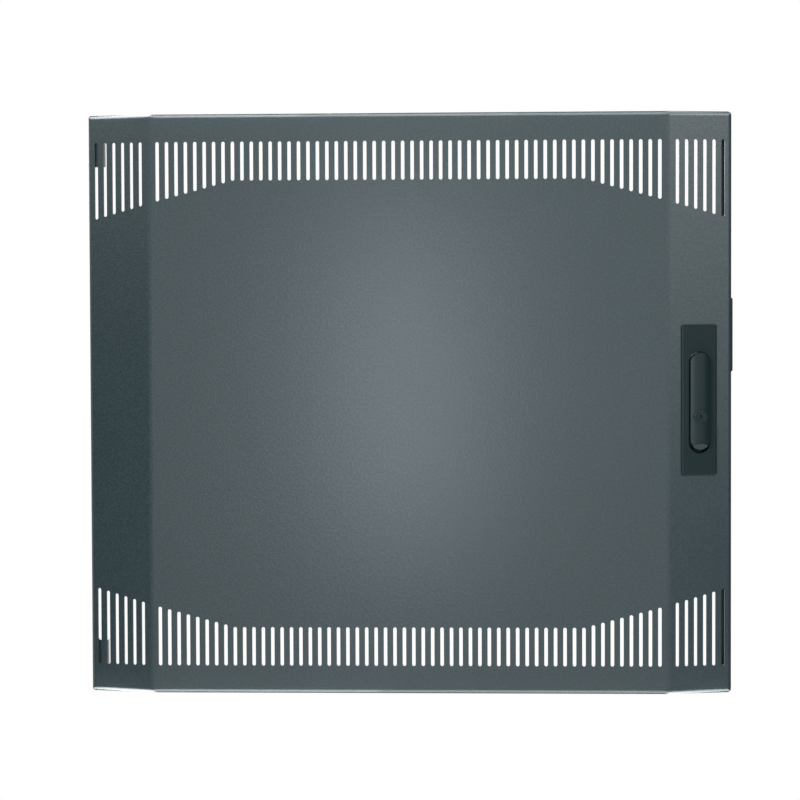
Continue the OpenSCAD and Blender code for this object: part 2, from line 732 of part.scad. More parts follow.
module spindle() color(bright_zinc) at_spindle() difference() {
    union() {
        bar_y(spindle_d / 2 + collar_wall, disc_front, disc_front + disc_t);
        bar_y(spindle_d / 2, disc_front, cam_y);
        translate([-square_w / 2, cam_y - cut, -square_w / 2])
            cube([square_w, cam_t + cut - square_short, square_w]);
        thick_x(-lug_w / 2, lug_w / 2) {
            translate([-pivot_y, pivot_z]) circle(lug_r);
            translate([-pivot_y, pivot_z - lug_r]) square([pivot_y + disc_front + 0.1, 2 * lug_r]);
        }
    }
    translate([0, -pivot_y, pivot_z]) bar_x(pivot_d / 2 + fit, -lug_w, lug_w);
    ring_y(spindle_d / 2 - clip_depth, spindle_d, clip_y - fit, clip_y + clip_t + fit);
    bar_y(cam_screw_d / 2 + fit, cam_y - cam_thread_len, cam_y + cam_t + cut);
}

module spindle_washer() color(bright_zinc) at_spindle()
    ring_y(spindle_d / 2 + seat, spindle_d / 2 + collar_wall, bearing_end + fit, bearing_end + fit + washer_t);

module spindle_clip() color(dark_zinc) at_spindle() difference() {
    ring_y(spindle_d / 2 - clip_depth + fit, spindle_d / 2 + clip_wall, clip_y, clip_y + clip_t);
    translate([-clip_slot / 2, clip_y - cut, 0]) cube([clip_slot, clip_t + 2 * cut, spindle_d]);
}

// the side view of the cam: flat on the spindle, then bent to run parallel with the back of the door
module cam_side() {
    tip = [cam_bend, cam_y] + cam_reach * [cos(facet_angle), -sin(facet_angle)];
    outer_bend = [cam_bend + cam_t * tan(facet_angle / 2), cam_y + cam_t];
    difference() {
        polygon([[-cam_w / 2, cam_y], [cam_bend, cam_y],
                 tip, tip + cam_t * [sin(facet_angle), cos(facet_angle)],
                 outer_bend, [-cam_w / 2, cam_y + cam_t]]);
        turn_bit(outer_bend, 180 - facet_angle, facet_angle, cam_bend_r);
    }
}

module latch_cam() color(bright_zinc) at_spindle() difference() {
    intersection() {
        thick_z(-cam_w / 2, cam_w / 2) cam_side();
        thick_y(cam_y - cam_reach, cam_y + 2 * cam_t) {
            circle(cam_w / 2);
            soft_rect([0, -cam_w / 2], [cam_tip, cam_w / 2], [0, cam_tip_r, cam_tip_r, 0]);
        }
    }
    translate([-square_w / 2 - fit, cam_y - cut, -square_w / 2 - fit])
        cube([square_w + 2 * fit, cam_t + 2 * cut, square_w + 2 * fit]);
}

module cam_washer() color(bright_zinc) at_spindle()
    ring_y(cam_screw_d / 2 + 2 * seat, cam_washer_r, cam_y + cam_t, cam_y + cam_t + cam_washer_t);
module cam_screw() color(bright_zinc) at_spindle()
    pan_screw(cam_screw_d, cam_screw_len, cam_y + cam_t + cam_washer_t);

// ---- edge plate, bumpers and earth stud ----

module latch_edge_plate() color(black) on_door() difference() {
    thick_x(half_w, half_w + edge_plate_t) soft_rect(
        [edge_plate_y - edge_plate_w / 2, edge_plate_z - edge_plate_h / 2],
        [edge_plate_y + edge_plate_w / 2, edge_plate_z + edge_plate_h / 2], all_four(edge_plate_r));
    at_edge_rivets() bar_x(rivet_d / 2 + fit, -cut, edge_plate_t + cut);
}
module edge_plate_rivets() color(dark_zinc) on_door() at_edge_rivets() {
    bar_x(rivet_d / 2, -sheet_t - rivet_grip, edge_plate_t);
    bar_x(rivet_d, -sheet_t - rivet_grip - rivet_head_t, -sheet_t);
}

module lip_bumpers() color(rubber) on_door() at_bumpers() rotate([-90, 0, 0]) rotate_extrude() {
    translate([0, -sheet_t]) square([bumper_stem_r, sheet_t]);
    soft_rect([0, 0], [bumper_r, bumper_h], [0, 0, bumper_edge_r, 0]);
    translate([0, -sheet_t - bumper_barb_t])
        soft_rect([0, 0], [bumper_stem_r + bumper_barb, bumper_barb_t], [0, bumper_barb_r, 0, 0]);
}

module at_earth_stud() on_door() translate([-centre_w / 2 + stud_x, sheet_t, stud_z - half_h]) children();
module earth_stud() color(bright_zinc) at_earth_stud() {
    bar_y(stud_d / 2 + seat + earth_washer_t, 0, stud_base_t);
    bar_y(stud_root_r, 0, stud_len);
    bar_y(stud_d / 2, nut_y + nut_t + nut_relief, stud_len);
}
module earth_washer() color(bright_zinc) at_earth_stud() difference() {
    ring_y(stud_d / 2 + seat, earth_washer_r, nut_y - earth_washer_t, nut_y);
    for (a = [0:30:330]) rotate([0, a, 0])
        translate([earth_washer_r - tooth_depth, nut_y - earth_washer_t - cut, -tooth_gap / 2])
            cube([tooth_depth + cut, earth_washer_t + 2 * cut, tooth_gap]);
}
module earth_nut() color(bright_zinc) at_earth_stud() difference() {
    translate([0, nut_y, 0]) rotate([-90, 0, 0]) cylinder(r = nut_af / sqrt(3), h = nut_t, $fn = 6);
    bar_y(stud_root_r + fit, nut_y - cut, nut_y + nut_t + cut);
}

door_panel();
upper_hinge_block();
lower_hinge_block();
upper_hinge_bush();
lower_hinge_bush();
hinge_screws();
handle_dish();
dish_gasket();
upper_clamp_plate();
lower_clamp_plate();
clamp_screws();
swing_handle();
handle_pivot_pin();
lock_barrel();
key_plug();
lock_tongue();
spindle();
spindle_washer();
spindle_clip();
latch_cam();
cam_washer();
cam_screw();
latch_edge_plate();
edge_plate_rivets();
lip_bumpers();
earth_stud();
earth_washer();
earth_nut();
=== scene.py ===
# %% [markdown]
# # Dressing a slotted rack door
#
# The door is a folded steel sheet with a bowed front, a row of vent slots along the top and
# another along the bottom, and a swing handle lock in a plastic dish. Its solids come from a
# CAD model and are exact already, so this script doesn't move or reshape them. It gives each
# one the finish of the real piece, makes the earth stud, whose thread is too fine for the CAD
# model, and sets up the studio. The first step is to load the solids.

# %% Load the CAD solids
import json
import math

import bpy
from mathutils import Matrix, Vector


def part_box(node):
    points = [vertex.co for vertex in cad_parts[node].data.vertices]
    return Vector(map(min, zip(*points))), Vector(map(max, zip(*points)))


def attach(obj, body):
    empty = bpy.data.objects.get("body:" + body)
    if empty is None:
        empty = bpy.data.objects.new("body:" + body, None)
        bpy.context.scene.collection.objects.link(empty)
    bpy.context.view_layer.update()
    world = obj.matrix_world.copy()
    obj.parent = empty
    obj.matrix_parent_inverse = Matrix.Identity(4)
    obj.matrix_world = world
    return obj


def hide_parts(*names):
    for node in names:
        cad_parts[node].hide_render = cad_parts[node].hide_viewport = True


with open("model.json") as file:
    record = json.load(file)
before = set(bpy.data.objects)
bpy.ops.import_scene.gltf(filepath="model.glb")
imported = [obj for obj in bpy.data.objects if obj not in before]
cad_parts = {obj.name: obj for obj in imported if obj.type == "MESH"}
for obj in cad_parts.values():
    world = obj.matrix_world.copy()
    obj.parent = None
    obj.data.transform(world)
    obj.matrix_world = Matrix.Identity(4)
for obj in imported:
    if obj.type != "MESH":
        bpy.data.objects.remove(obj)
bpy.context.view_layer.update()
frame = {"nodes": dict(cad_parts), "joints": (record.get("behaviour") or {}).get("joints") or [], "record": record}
nodes = frame["nodes"]
joints = {joint["name"]: joint for joint in frame["joints"]}
MM = 0.001
MM_PER_METRE = 1000.0

# %% [markdown]
# The studio is placed from the solids. The lowest and highest corners of the sheet give the
# front, the middle and the height of the door, and the joint of the handle gives the place of
# its spindle.

# %% Measure the door
sheet_low, sheet_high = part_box("door_panel")
door_middle = (sheet_low + sheet_high) / 2
door_front = Vector((door_middle.x, sheet_low.y, door_middle.z))
spindle_at = Vector(joints["handle_turn"]["pos_m"])
print("door front:", [round(v, 4) for v in door_front])
print("spindle:", [round(v, 4) for v in spindle_at])

# %% [markdown]
# ## Tools for building finishes
#
# A shader can be wired by hand in the editor, but a script needs a short way to place a node,
# set its values and join it to others. Two helpers do that for every finish below: `place`
# adds a node and fills in its sockets, and `new_group` opens a node group with named sockets.
# The others are short names for the few nodes that come up again and again.

# %% Helpers for shader nodes
def place(tree, kind, sockets=None, **settings):
    """Adds a node, sets its properties, and fills each named socket with a value or a link."""
    node = tree.nodes.new(kind)
    for name, value in settings.items():
        setattr(node, name, value)
    for name, value in (sockets or {}).items():
        if isinstance(value, bpy.types.NodeSocket):
            tree.links.new(value, node.inputs[name])
        else:
            node.inputs[name].default_value = value
    return node


def new_group(name, inputs, outputs):
    """Opens a node group. Each input is (name, kind, default) and each output (name, kind)."""
    tree = bpy.data.node_groups.new(name, "ShaderNodeTree")
    for label, kind, default in inputs:
        socket = tree.interface.new_socket(label, in_out="INPUT", socket_type="NodeSocket" + kind)
        socket.default_value = default
    for label, kind in outputs:
        tree.interface.new_socket(label, in_out="OUTPUT", socket_type="NodeSocket" + kind)
    return tree, tree.nodes.new("NodeGroupInput"), tree.nodes.new("NodeGroupOutput")


def use_group(tree, group, **sockets):
    """Places a node group in a material with its own values."""
    named = {name.replace("_", " "): value for name, value in sockets.items()}
    return place(tree, "ShaderNodeGroup", named, node_tree=group)


print("helpers ready")

# %% Helpers for values and colours
def arithmetic(tree, operation, a, b, clamp=False):
    """One Math node. Each side is a number or a socket."""
    node = place(tree, "ShaderNodeMath", {0: a, 1: b}, operation=operation, use_clamp=clamp)
    return node.outputs[0]


def stretch(tree, value, low, high, new_low=0.0, new_high=1.0):
    """Maps low..high of a value to new_low..new_high, and holds it there beyond both ends."""
    ends = {"From Min": low, "From Max": high, "To Min": new_low, "To Max": new_high}
    return place(tree, "ShaderNodeMapRange", {"Value": value, **ends}).outputs["Result"]


def blend_colours(tree, mask, a, b):
    """Colour a where the mask is 0 and b where it is 1."""
    sockets = {0: mask, 6: a, 7: b}
    return place(tree, "ShaderNodeMix", sockets, data_type="RGBA", clamp_factor=True).outputs[2]


def blend_values(tree, share, a, b):
    """Value a where the share is 0 and b where it is 1."""
    return place(tree, "ShaderNodeMix", {0: share, 2: a, 3: b}, data_type="FLOAT").outputs[0]


def per_metre(tree, millimetres):
    """The noise scale that gives about one lump in so many millimetres."""
    return arithmetic(tree, "DIVIDE", MM_PER_METRE, millimetres)


def noise(tree, at, scale, detail, roughness):
    """Soft noise in object space, with values around a half."""
    sockets = {"Vector": at, "Scale": scale, "Detail": detail, "Roughness": roughness}
    return place(tree, "ShaderNodeTexNoise", sockets).outputs[0]


print("value helpers ready")

# %% [markdown]
# ## Grit: the fine texture of powder coat and moulded plastic
#
# Textured powder coat is a skin of small rounded lumps, a millimetre or two across, that
# formed as the powder flowed in the oven. Moulded plastic has a finer and flatter texture,
# which was etched into its mould. Both could be a picture, but a picture needs a layout and
# blurs close up. Two layers of noise in object space avoid both: the coarse one makes the
# lumps and the fine one breaks them up. The group puts out a height for bump and a fleck
# mask, which makes the tops of the lumps a little paler and glossier.

# %% Grit group
grit, grit_in, grit_out = new_group(
    "Grit",
    [("Lump mm", "Float", 1.0), ("Fine share", "Float", 0.45)],
    [("Height", "Float"), ("Fleck", "Float")],
)
place_on_piece = place(grit, "ShaderNodeTexCoord").outputs["Object"]
lumps_per_metre = per_metre(grit, grit_in.outputs["Lump mm"])
coarse = noise(grit, place_on_piece, lumps_per_metre, detail=1.0, roughness=0.5)
fine_per_coarse = 2.7
fine_scale = arithmetic(grit, "MULTIPLY", lumps_per_metre, fine_per_coarse)
fine = noise(grit, place_on_piece, fine_scale, detail=1.0, roughness=0.6)
lump_foot, lump_top = 0.35, 0.68
rounded = stretch(grit, coarse, lump_foot, lump_top)
both = blend_values(grit, grit_in.outputs["Fine share"], rounded, fine)
grit.links.new(both, grit_out.inputs["Height"])
fleck_foot, fleck_top = 0.42, 0.62
grit.links.new(stretch(grit, coarse, fleck_foot, fleck_top), grit_out.inputs["Fleck"])
print("group:", grit.name)

# %% [markdown]
# ## Handling: where hands, cloths and dust have been
#
# No finish is even over half a metre. Hands leave it a little shinier, wiping leaves faint
# long streaks, and dust dulls what nobody touches. Painting that by hand would take a layout
# too, so slow noise does it: one soft cloud and one stretched along the height of the door.

# %% Handling group
handling, handling_in, handling_out = new_group(
    "Handling",
    [("Cloud mm", "Float", 160.0), ("Streak share", "Float", 0.4)],
    [("Patch", "Float")],
)
place_on_piece = place(handling, "ShaderNodeTexCoord").outputs["Object"]
clouds_per_metre = per_metre(handling, handling_in.outputs["Cloud mm"])
cloud = noise(handling, place_on_piece, clouds_per_metre, detail=4.0, roughness=0.55)
streak_squeeze = (1.0, 1.0, 0.12)
lengthwise = place(
    handling, "ShaderNodeMapping", {"Vector": place_on_piece, "Scale": streak_squeeze},
).outputs[0]
streaks_per_cloud = 5.0
streak_scale = arithmetic(handling, "MULTIPLY", clouds_per_metre, streaks_per_cloud)
streak = noise(handling, lengthwise, streak_scale, detail=3.0, roughness=0.6)
patch = blend_values(handling, handling_in.outputs["Streak share"], cloud, streak)
patch_foot, patch_top = 0.3, 0.7
handling.links.new(stretch(handling, patch, patch_foot, patch_top), handling_out.inputs["Patch"])
print("group:", handling.name)

# %% [markdown]
# ## Soft edges: no real edge is sharp
#
# A coated or plated edge is rounded by a few tenths of a millimetre, and it is where the
# finish wears first. A Bevel modifier could round each solid, but that would change CAD
# meshes. The Bevel node rounds only the shading. Comparing its normal with the plain one also
# tells how near an edge is, which gives the mask for paler edges: partly edge wear, partly a
# painted edge highlight.

# %% Soft edge group
soft_edge, soft_in, soft_out = new_group(
    "Soft edge",
    [("Radius mm", "Float", 0.3)],
    [("Normal", "Vector"), ("Edge", "Float")],
)
radius = arithmetic(soft_edge, "MULTIPLY", soft_in.outputs["Radius mm"], MM)
rounded_normal = place(soft_edge, "ShaderNodeBevel", {"Radius": radius}, samples=6).outputs[0]
plain_normal = place(soft_edge, "ShaderNodeNewGeometry").outputs["Normal"]
likeness = place(
    soft_edge, "ShaderNodeVectorMath", {0: rounded_normal, 1: plain_normal}, operation="DOT_PRODUCT"
).outputs["Value"]
edge_starts, edge_full = 0.995, 0.85
soft_edge.links.new(rounded_normal, soft_out.inputs["Normal"])
soft_edge.links.new(stretch(soft_edge, likeness, edge_starts, edge_full), soft_out.inputs["Edge"])
print("group:", soft_edge.name)

# %% [markdown]
# ## Plating: zinc on small steel pieces
#
# Zinc plate is a metal with a faint cloudy bloom and fine scratches from tumbling in the
# plating barrel. A plain metal shader looks like chrome. The group mixes a cloudy noise with
# a thin scratchy one, and gives one mask for colour and roughness and one for bump.

# %% Plating group
plating, plating_in, plating_out = new_group(
    "Plating",
    [("Bloom mm", "Float", 6.0), ("Scratch mm", "Float", 0.5)],
    [("Bloom", "Float"), ("Scratch", "Float")],
)
place_on_piece = place(plating, "ShaderNodeTexCoord").outputs["Object"]
bloom_scale = per_metre(plating, plating_in.outputs["Bloom mm"])
bloom = noise(plating, place_on_piece, bloom_scale, detail=3.0, roughness=0.55)
scratch_scale = per_metre(plating, plating_in.outputs["Scratch mm"])
scratch_slant, scratch_squeeze = (0.3, 0.9, 0.4), (0.06, 1.0, 1.0)
turned = place(
    plating, "ShaderNodeMapping",
    {"Vector": place_on_piece, "Rotation": scratch_slant, "Scale": scratch_squeeze},
).outputs[0]
scratch = noise(plating, turned, scratch_scale, detail=2.0, roughness=0.7)
bloom_foot, bloom_top = 0.32, 0.68
plating.links.new(stretch(plating, bloom, bloom_foot, bloom_top), plating_out.inputs["Bloom"])
plating.links.new(scratch, plating_out.inputs["Scratch"])
print("group:", plating.name)

# %% [markdown]
# ## One maker for the coated finishes
#
# Powder coat, moulded plastic, satin lacquer, rubber and nylon all come down to one recipe
# with other amounts: a base colour that varies a little, a roughness that varies with it, and
# bump from grit over softly rounded edges. So one function builds them. The values that are
# the same all over a piece, such as its specular level, are set on the shader itself.

# %% Parts that every finish has
def new_finish(name, settings):
    """A material whose shader has these values all over the piece."""
    material = bpy.data.materials.new(name)
    material.use_nodes = True
    shader = material.node_tree.nodes["Principled BSDF"]
    for label, value in settings.items():
        shader.inputs[label].default_value = value
    return material, material.node_tree, shader


def add_relief(tree, shader, height, normal, depth_mm):
    """Bump of a height in millimetres, over softly rounded edges."""
    sockets = {"Height": height, "Normal": normal, "Distance": depth_mm * MM, "Strength": 1.0}
    bump = place(tree, "ShaderNodeBump", sockets)
    tree.links.new(bump.outputs[0], shader.inputs["Normal"])


print("parts ready")

# %% Coated finish
# Share of the paler edge colour, which is partly edge wear and partly a painted edge highlight.
EDGE_WEAR_AND_HIGHLIGHT_SHARE = 0.35
GLOSS_SWING = 0.01


def coated(name, colour, pale, roughness, lump_mm, lump_depth_mm, edge_mm=0.3, specular=0.5,
           fleck=0.25, patch_share=0.15, edge_wear_and_highlight_colour=None, cloud_mm=160.0, speckle=0.005):
    """A finish over which grit, handling and soft edges vary colour, gloss and relief."""
    material, tree, shader = new_finish(name, {"Specular IOR Level": specular})
    surface = use_group(tree, grit, Lump_mm=lump_mm)
    worn = use_group(tree, handling, Cloud_mm=cloud_mm)
    edges = use_group(tree, soft_edge, Radius_mm=edge_mm)
    flecked = arithmetic(tree, "MULTIPLY", surface.outputs["Fleck"], fleck)
    patchy = arithmetic(tree, "MULTIPLY", worn.outputs["Patch"], patch_share)
    mask = arithmetic(tree, "ADD", flecked, patchy, clamp=True)
    tinted = blend_colours(tree, mask, (*colour, 1), (*pale, 1))
    # Paler colour along the edges: partly edge wear, partly a painted edge highlight.
    if edge_wear_and_highlight_colour:
        share = arithmetic(tree, "MULTIPLY", edges.outputs["Edge"], EDGE_WEAR_AND_HIGHLIGHT_SHARE)
        tinted = blend_colours(tree, share, tinted, (*edge_wear_and_highlight_colour, 1))
    tree.links.new(tinted, shader.inputs["Base Color"])
    gloss = stretch(tree, worn.outputs["Patch"], 0.0, 1.0,
                    roughness - GLOSS_SWING, roughness + GLOSS_SWING)
    shiny = arithmetic(tree, "MULTIPLY", surface.outputs["Fleck"], speckle)
    gloss = arithmetic(tree, "SUBTRACT", gloss, shiny)
    tree.links.new(gloss, shader.inputs["Roughness"])
    add_relief(tree, shader, surface.outputs["Height"], edges.outputs["Normal"], lump_depth_mm)
    return material


print("maker of coats ready")

# %% Plated finish
PLATED_EDGE_MM, SCRATCH_DEPTH_MM = 0.15, 0.01
CLEAR_GLOSS, BLOOM_GLOSS = -0.06, 0.1


def plated(name, colour, bloom_colour, roughness):
    """A metal finish with bloom, fine scratches and softly rounded edges."""
    material, tree, shader = new_finish(name, {"Metallic": 1.0})
    skin = use_group(tree, plating)
    edges = use_group(tree, soft_edge, Radius_mm=PLATED_EDGE_MM)
    bloom_mask = skin.outputs["Bloom"]
    clouded = blend_colours(tree, bloom_mask, (*colour, 1), (*bloom_colour, 1))
    tree.links.new(clouded, shader.inputs["Base Color"])
    gloss = stretch(tree, bloom_mask, 0.0, 1.0, roughness + CLEAR_GLOSS, roughness + BLOOM_GLOSS)
    tree.links.new(gloss, shader.inputs["Roughness"])
    add_relief(tree, shader, skin.outputs["Scratch"], edges.outputs["Normal"], SCRATCH_DEPTH_MM)
    return material


print("maker of plated metal ready")

# %% [markdown]
# ## The finishes
#
# The door is powder coated in a slate grey with a fine texture. The dish is moulded nylon with
# glass, darker than the sheet. The handle is a die casting in satin black. The hinge bushes are
# natural nylon, and the hardware behind the door is bright zinc or black oxide.

# %% Make the finishes
finishes = {
    # The paler edge colours of the coat and the handle are partly edge wear, partly painted edge highlight.
    "powder_coat": coated(
        "slate_powder_coat", (0.0287, 0.0481, 0.0544), (0.0531, 0.0764, 0.0868), 0.305,
        lump_mm=2.1, lump_depth_mm=0.06, edge_mm=0.5, patch_share=0.1, fleck=0.38,
        speckle=0.01, edge_wear_and_highlight_colour=(0.05, 0.068, 0.074)),
    "dish_black": coated(
        "moulded_black", (0.011, 0.023, 0.025), (0.017, 0.03, 0.032), 0.42,
        lump_mm=0.9, lump_depth_mm=0.02, specular=0.15, cloud_mm=60.0),
    "handle_black": coated(
        "satin_black_casting", (0.011, 0.023, 0.025), (0.017, 0.03, 0.032), 0.3,
        lump_mm=0.8, lump_depth_mm=0.008, edge_mm=0.4, specular=0.22, cloud_mm=40.0,
        edge_wear_and_highlight_colour=(0.022, 0.034, 0.036)),
    "barrel_black": coated(
        "satin_black_barrel", (0.012, 0.024, 0.026), (0.018, 0.031, 0.033), 0.3,
        lump_mm=0.8, lump_depth_mm=0.008, specular=0.25, cloud_mm=30.0),
    "edge_black": coated(
        "matte_black_trim", (0.012, 0.015, 0.016), (0.02, 0.024, 0.025), 0.55,
        lump_mm=0.7, lump_depth_mm=0.015, specular=0.4, cloud_mm=40.0),
    "rubber": coated(
        "black_rubber", (0.011, 0.011, 0.012), (0.02, 0.02, 0.021), 0.72,
        lump_mm=0.8, lump_depth_mm=0.02, specular=0.3, cloud_mm=20.0),
    "nylon": coated(
        "natural_nylon", (0.68, 0.66, 0.58), (0.76, 0.74, 0.67), 0.42,
        lump_mm=0.9, lump_depth_mm=0.01, cloud_mm=12.0),
    "bright_zinc": plated("bright_zinc_plate", (0.56, 0.59, 0.62), (0.68, 0.69, 0.69), 0.3),
    "dark_steel": plated("black_oxide_steel", (0.05, 0.055, 0.06), (0.09, 0.095, 0.1), 0.42),
}
print("finishes:", len(finishes))

# %% Give each solid its finish
for subpart in frame["record"]["subparts"]:
    piece = nodes[subpart["node"]]
    piece.data.materials.clear()
    piece.data.materials.append(finishes[subpart["material_slot"]])

# %% [markdown]
# ## The earth stud's thread
#
# The stud is welded to the back of the door, and its nut clamps the lead that earths the door.
# The CAD solid is smooth, as a thread is too fine for it. A thread could be a picture or bump,
# but its outline stays smooth then. Here each ring of points follows the thread's helix: a
# point's radius rises and falls once per pitch along the stud, and once per turn around it.

# %% Thread profile
FLANK_SLOPE, ROOT_FLAT = 1.25, 0.1


def thread_radius(along, turn, root, crest, pitch):
    """Radius of a V thread, flat at root and crest, at a length along it and a share of a turn."""
    phase = (along / pitch - turn) % 1.0
    flank = 1.0 - abs(2.0 * phase - 1.0)
    return root + (crest - root) * min(1.0, max(0.0, flank * FLANK_SLOPE - ROOT_FLAT))


def ring_mesh(name, rings):
    """A closed mesh along +Y. Each ring is (y, radii), with one radius for each step around."""
    mesh = bpy.data.meshes.new(name)
    steps = len(rings[0][1])
    points = []
    for y, radii in rings:
        for step, radius in enumerate(radii):
            angle = math.tau * step / steps
            points.append((radius * math.cos(angle), y, radius * math.sin(angle)))
    faces = [tuple(range(steps)), tuple(len(points) - 1 - step for step in range(steps))]
    for ring in range(len(rings) - 1):
        for step in range(steps):
            after = (step + 1) % steps
            a, b = ring * steps, (ring + 1) * steps
            faces.append((a + after, a + step, b + step, b + after))
    mesh.from_pydata(points, [], faces)
    return mesh


def add_object(name, data):
    """Puts a mesh, a lamp or a camera into the scene."""
    made = bpy.data.objects.new(name, data)
    bpy.context.scene.collection.objects.link(made)
    return made


print("crest radius:", round(thread_radius(0.5, 0.0, 2.6, 3.0, 1.0), 3))

# %% Rings of the earth stud
stud_low, stud_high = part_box("earth_stud")
stud_middle = (stud_low + stud_high) / 2
stud_length = stud_high.y - stud_low.y
foot_radius = (stud_high.x - stud_low.x) / 2
foot_height, foot_edge = 0.8 * MM, 0.15 * MM
crest_radius, root_radius, pitch, tip_bevel = 2.98 * MM, 2.42 * MM, 1.0 * MM, 0.9 * MM
around, rows_per_pitch = 40, 8

stud_rings = [
    (0.0, [foot_radius] * around),
    (foot_height - foot_edge, [foot_radius] * around),
    (foot_height, [foot_radius - foot_edge] * around),
    (foot_height, [root_radius + foot_edge] * around),
    (foot_height + foot_edge, [root_radius] * around),
]
thread_rows = round((stud_length - foot_height - 2 * foot_edge) / pitch * rows_per_pitch)
for row in range(1, thread_rows + 1):
    y = foot_height + foot_edge + row * pitch / rows_per_pitch
    if y > stud_length:
        break
    limit = crest_radius - max(0.0, y - (stud_length - tip_bevel))
    stud_rings.append((y, [
        min(limit, thread_radius(y, step / around, root_radius, crest_radius, pitch))
        for step in range(around)]))
stud_rings.append((stud_length, [crest_radius - tip_bevel] * around))
print("rings:", len(stud_rings))

# %% Earth stud
threaded_stud = add_object("threaded_earth_stud", ring_mesh("threaded_earth_stud", stud_rings))
threaded_stud.location = (stud_middle.x, stud_low.y, stud_middle.z)
threaded_stud.data.materials.append(finishes["bright_zinc"])
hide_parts("earth_stud")
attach(threaded_stud, "door")
print("earth stud:", len(threaded_stud.data.polygons), "faces")

# %% [markdown]
# ## The studio
#
# The door hangs from its hinge side, well above a plain pale floor. A broad soft lamp from the
# upper right models the two side facets, and a tall narrow one near the camera gives the
# upright glow on the flat middle. A coat this glossy also mirrors the room, so the room is
# built too: black cards beside the door keep the side facets dark, and narrow lamps just above
# and below it, which only reflections see, draw the light line along each bend. They stay
# close to the edges, so that the flat front doesn't mirror them when it is seen from above.
# Three small lamps light the lock alone, from the left, the front and below, so that its
# black handle stands out from its black dish.

# %% Floor
def flat_card(name, corners, finish):
    """A flat card with four corners."""
    mesh = bpy.data.meshes.new(name)
    mesh.from_pydata(corners, [], [(0, 1, 2, 3)])
    mesh.materials.append(finish)
    return add_object(name, mesh)


pale, pale_tree, pale_shader = new_finish("pale_floor", {
    "Base Color": (0.8, 0.8, 0.8, 1), "Roughness": 0.9, "Specular IOR Level": 0.1,
    "Emission Color": (1, 1, 1, 1)})
floor_lift = 0.35
straight_view = place(pale_tree, "ShaderNodeLightPath").outputs["Is Camera Ray"]
lift = arithmetic(pale_tree, "MULTIPLY", straight_view, floor_lift)
pale_tree.links.new(lift, pale_shader.inputs["Emission Strength"])

floor_drop, floor_half, floor_front, floor_back = 0.6, 3.0, -6.0, 2.2
floor_left, floor_right = door_middle.x - floor_half, door_middle.x + floor_half
floor = flat_card("floor", [
    (floor_left, floor_front, -floor_drop), (floor_right, floor_front, -floor_drop),
    (floor_right, floor_back, -floor_drop), (floor_left, floor_back, -floor_drop)], pale)
print("floor at", -floor_drop)

# %% [markdown]
# The background is the world. What the camera and the glossy rays see is white, and what
# lights the object is a weaker grey, so that the background doesn't flood the door.

# %% World
world = bpy.data.worlds.new("studio")
bpy.context.scene.world = world
world.use_nodes = True
sky = world.node_tree
sky_shader = sky.nodes["Background"]
rays = place(sky, "ShaderNodeLightPath")
seen = arithmetic(sky, "MAXIMUM", rays.outputs["Is Camera Ray"], rays.outputs["Is Glossy Ray"])
seen = arithmetic(sky, "MAXIMUM", seen, rays.outputs["Is Transmission Ray"])
ambient = 0.8
sky.links.new(stretch(sky, seen, 0.0, 1.0, ambient, 1.0), sky_shader.inputs["Strength"])
sky_shader.inputs["Color"].default_value = (1, 1, 1, 1)
print("ambient:", ambient)

# %% [markdown]
# The cards are flat black felt, which gives nothing back. The door reflects them, and the
# camera doesn't see them. Each card and each lamp is placed from the middle of the door's
# front.

# %% Black cards
def from_front(x, y, z):
    """A place measured from the middle of the door's front: right, back and up, in metres."""
    return door_front + Vector((x, y, z))


def side_flag(name, x, near_y, far_y, low_z, high_z):
    """An upright black card beside the door, which the door reflects."""
    corners = [(x, near_y, low_z), (x, far_y, low_z), (x, far_y, high_z), (x, near_y, high_z)]
    card = flat_card(name, [from_front(*corner) for corner in corners], felt)
    card.visible_camera = False


felt = new_finish("black_felt", {
    "Base Color": (0.004, 0.004, 0.004, 1), "Roughness": 1.0, "Specular IOR Level": 0.0})[0]
side_flag("left_flag", -0.75, -1.3, -0.2, -0.52, 0.18)
side_flag("right_flag", 0.75, -0.45, 0.6, -0.86, 0.5)
side_flag("right_low_flag", 0.75, -1.2, -0.45, -0.42, -0.08)

# %% [markdown]
# ## Lamps that light only some pieces
#
# One set of lamps can't suit both the grey sheet and the black lock: what draws the handle out
# of its dish would wash out the sheet. In a real studio, cards on stands shade one from the
# other. Here light linking does it: a lamp lights only the pieces of its collection, or
# everything but them.

# %% Groups of pieces for the lamps
def group_of(name, pieces, keep_dark=False):
    """A collection of pieces that a lamp lights alone, or leaves out if keep_dark is set."""
    group = bpy.data.collections.new(name)
    for piece in pieces:
        group.objects.link(nodes[piece])
    for member in group.collection_objects:
        member.light_linking.link_state = "EXCLUDE" if keep_dark else "INCLUDE"
    return group


lock_pieces = ["handle_dish", "swing_handle", "lock_barrel", "key_plug"]
only_sheet = group_of("only_sheet", ["door_panel"])
only_lock = group_of("only_lock", lock_pieces)
not_lock = group_of("not_lock", lock_pieces, keep_dark=True)
print("groups:", only_sheet.name, only_lock.name, not_lock.name)

# %% Lamps on the door and on its lock
def soft_lamp(name, place_at, aim_at, width, height, watts, colour=(1, 1, 1), gloss_only=False,
              lights=None):
    """A rectangular lamp that points at aim_at and that the camera doesn't see."""
    data = bpy.data.lights.new(name, "AREA")
    data.shape = "RECTANGLE"
    data.size, data.size_y = width, height
    data.energy = watts
    data.color = colour
    lamp = add_object(name, data)
    lamp.location = place_at
    lamp.rotation_mode = "QUATERNION"
    lamp.rotation_quaternion = (aim_at - place_at).to_track_quat("-Z", "Y")
    lamp.visible_camera = False
    lamp.visible_diffuse = not gloss_only
    if lights:
        lamp.light_linking.receiver_collection = lights


